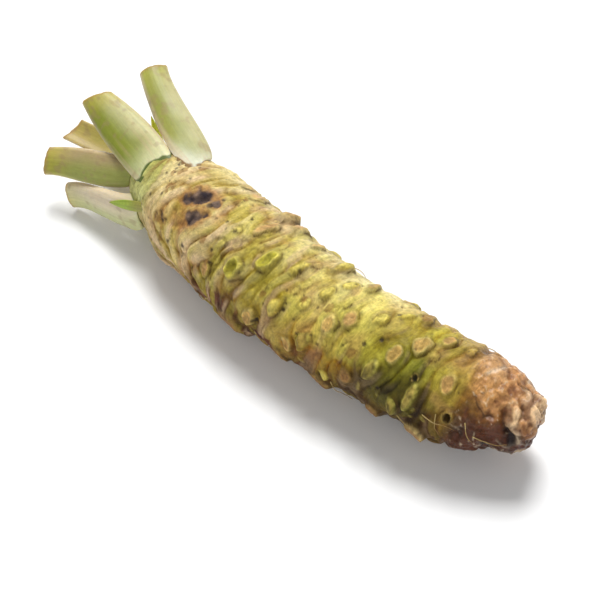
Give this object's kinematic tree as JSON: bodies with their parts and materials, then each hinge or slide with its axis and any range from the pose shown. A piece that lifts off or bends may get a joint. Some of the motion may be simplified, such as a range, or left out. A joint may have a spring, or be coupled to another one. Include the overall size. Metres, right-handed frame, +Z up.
{
  "type": "wasabi root",
  "caption": "Fresh knobbly wasabi root lying on its side, with a crown of short trimmed leaf stalks and small buds at one end.",
  "frame": {"origin": "on the surface the root lies on, under the middle of its bounding box", "axes": "+X along the root from the leaf crown to the broken end, +Z up; the end bends slightly towards +Y"},
  "size_m": [0.2127, 0.0592, 0.0392],
  "materials": {
    "rhizome_skin": "damp living skin, matt with a soft sheen, yellow-green to tan",
    "stalk_skin": "waxy pale green leaf stalk",
    "bud_skin": "waxy yellow-green bud"
  },
  "bodies": {
    "root": {"rhizome": "rhizome_skin", "leaf_stalk_front": "stalk_skin", "leaf_stalk_upper": "stalk_skin", "leaf_stalk_left": "stalk_skin", "leaf_stalk_lower": "stalk_skin", "leaf_stalk_back": "stalk_skin", "young_leaf": "bud_skin", "side_bud": "bud_skin"}
  },
  "joints": []
}
